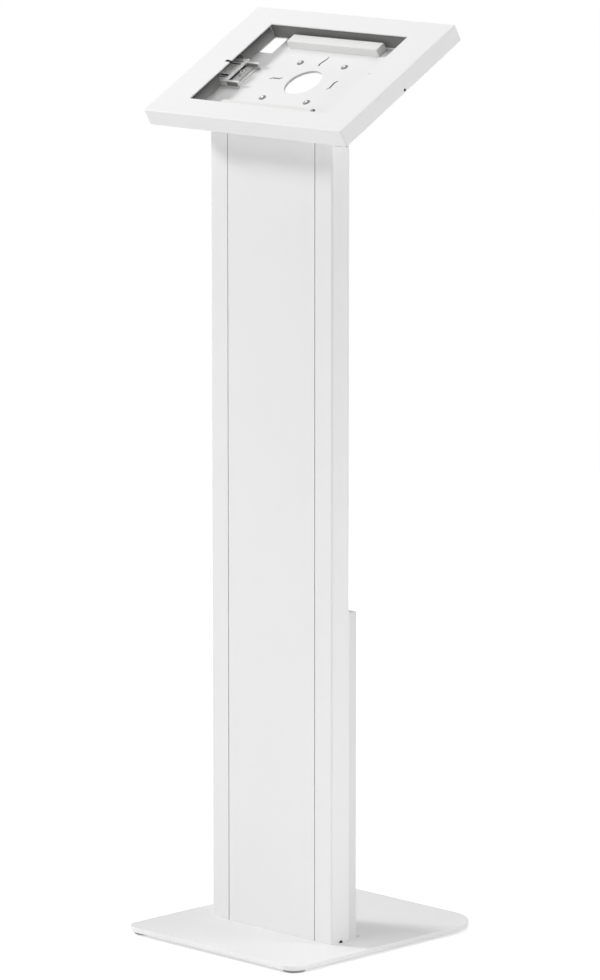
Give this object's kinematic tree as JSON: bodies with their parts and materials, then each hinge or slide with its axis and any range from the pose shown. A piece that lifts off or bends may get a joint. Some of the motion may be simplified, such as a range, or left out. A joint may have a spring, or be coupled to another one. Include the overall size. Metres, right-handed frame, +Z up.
{
  "type": "tablet security kiosk stand",
  "caption": "Floor-standing kiosk stand: a flat base, a tall sheet-steel column and a tilted tablet case with a hinged front frame, a key lock and a cable way.",
  "frame": {"origin": "on the floor, under the middle of the base plate", "axes": "+X right, +Y back, +Z up; the display slopes towards the user on the -Y side"},
  "size_m": [0.337, 0.339, 1.1285],
  "materials": {
    "white_powder_coat": "satin powder coat",
    "zinc_plated_steel": "zinc plated",
    "black_oxide_steel": "black oxide",
    "grey_rubber": "matte",
    "white_foam": "closed-cell foam",
    "nickel_plated_brass": "nickel plated"
  },
  "bodies": {
    "stand": {"base_plate": "white_powder_coat", "feet": "grey_rubber", "foot_screws": "zinc_plated_steel", "base_bolts": "zinc_plated_steel", "foot_bracket": "white_powder_coat", "column_left": "white_powder_coat", "column_right": "white_powder_coat", "front_panel": "white_powder_coat", "rear_panel": "white_powder_coat", "column_straps": "white_powder_coat", "rear_cover": "white_powder_coat", "cover_standoffs": "zinc_plated_steel", "cover_screws": "zinc_plated_steel", "head_flange": "white_powder_coat", "bracket_arms": "white_powder_coat", "bracket_plate": "white_powder_coat", "side_screws": "black_oxide_steel", "tray": "white_powder_coat", "wall_left": "white_powder_coat", "wall_right": "white_powder_coat", "wall_top": "white_powder_coat", "wall_bottom": "white_powder_coat", "support_upper": "white_foam", "support_lower": "white_foam", "mount_screws": "zinc_plated_steel", "lock_bracket": "zinc_plated_steel", "lock_screws": "zinc_plated_steel", "lock_housing": "nickel_plated_brass", "hinge_base": "zinc_plated_steel", "hinge_rivets": "zinc_plated_steel"},
    "frame": {"front_frame": "white_powder_coat", "frame_strike": "zinc_plated_steel", "hinge_leaf": "zinc_plated_steel", "hinge_screw": "black_oxide_steel", "hinge_pin": "zinc_plated_steel"},
    "lock_plug": {"lock_plug": "nickel_plated_brass", "lock_cam": "zinc_plated_steel"},
    "lock_slider": {"lock_slider": "zinc_plated_steel"}
  },
  "joints": [
    {"name": "frame_hinge", "type": "hinge", "parent": "stand", "child": "frame", "pos_m": [0.1615, -0.00216, 1.05784], "axis": [0, 0.866, 0.5], "range_deg": [0, 95]},
    {"name": "lock_turn", "type": "hinge", "parent": "stand", "child": "lock_plug", "pos_m": [-0.111, -0.0035, 1.05418], "axis": [0, -0.5, 0.866], "range_deg": [0, 90]},
    {"name": "lock_slide", "type": "slide", "parent": "stand", "child": "lock_slider", "axis": [-1, 0, 0], "range_m": [0, 0.008]}
  ],
  "couplings": [
    {"joint": "lock_turn", "follows": "lock_slide", "rad_per_m": 196.3}
  ]
}
